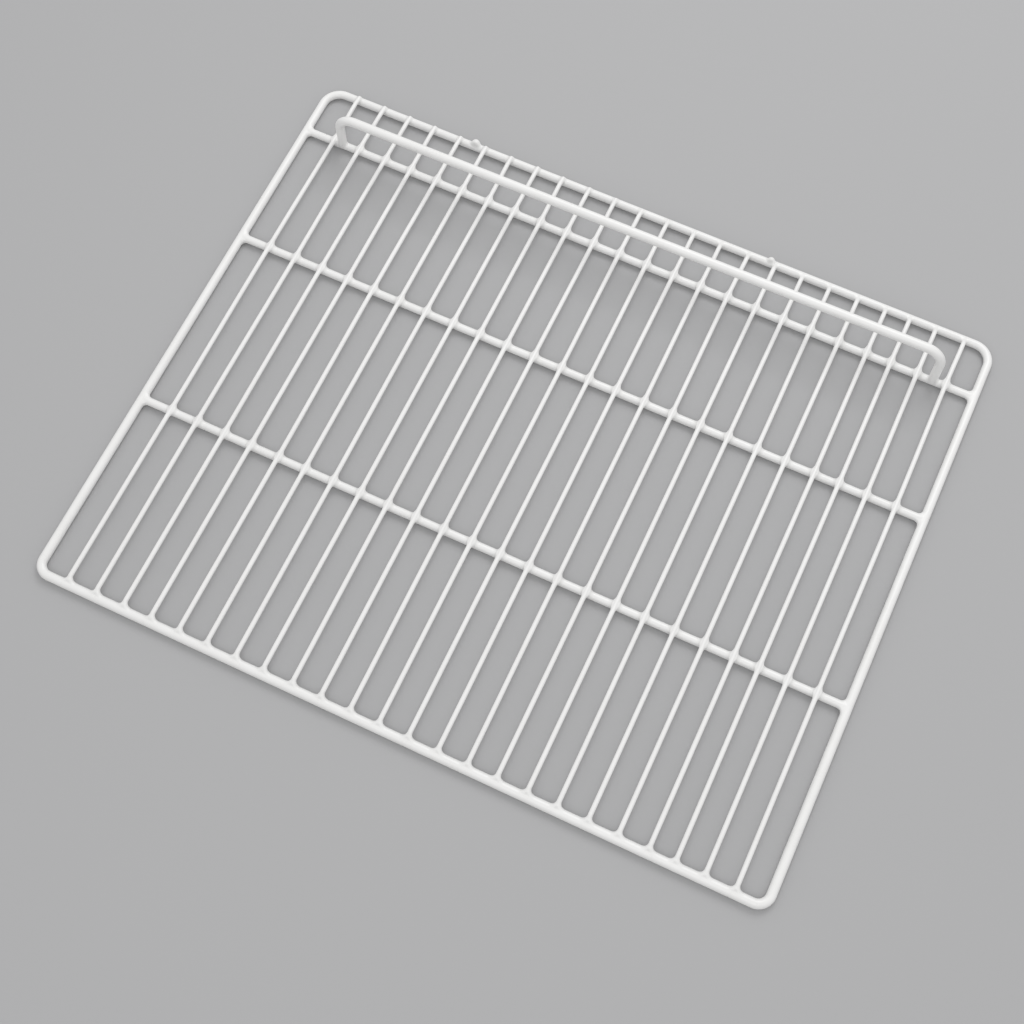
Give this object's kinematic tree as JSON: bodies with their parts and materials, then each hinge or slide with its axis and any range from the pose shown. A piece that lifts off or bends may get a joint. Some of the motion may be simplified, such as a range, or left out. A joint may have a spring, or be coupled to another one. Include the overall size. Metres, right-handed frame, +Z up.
{
  "type": "refrigerator shelf",
  "caption": "Flat rectangular wire shelf for a refrigerator: welded frame, cross rods and a deck of thin wires under a white plastic coat, with a raised stop bar at the back.",
  "frame": {"origin": "on the surface the shelf lies on, under the middle of the frame", "axes": "+X to the shelf's right seen from its front, +Y from the front rail to the back rail, +Z up"},
  "size_m": [0.65, 0.53, 0.0516],
  "materials": {
    "white_coat": "glossy white plastic dip coat over welded steel wire, thicker in the weld corners"
  },
  "bodies": {
    "root": {"outer_frame": "white_coat", "front_cross_rod": "white_coat", "middle_cross_rod": "white_coat", "rear_cross_rod": "white_coat", "back_stop_bar": "white_coat", "deck_wire_01": "white_coat", "deck_wire_02": "white_coat", "deck_wire_03": "white_coat", "deck_wire_04": "white_coat", "deck_wire_05": "white_coat", "deck_wire_06": "white_coat", "deck_wire_07": "white_coat", "deck_wire_08": "white_coat", "deck_wire_09": "white_coat", "deck_wire_10": "white_coat", "deck_wire_11": "white_coat", "deck_wire_12": "white_coat", "deck_wire_13": "white_coat", "deck_wire_14": "white_coat", "deck_wire_15": "white_coat", "deck_wire_16": "white_coat", "deck_wire_17": "white_coat", "deck_wire_18": "white_coat", "deck_wire_19": "white_coat", "deck_wire_20": "white_coat", "deck_wire_21": "white_coat", "deck_wire_22": "white_coat", "deck_wire_23": "white_coat", "deck_wire_24": "white_coat"}
  },
  "joints": []
}
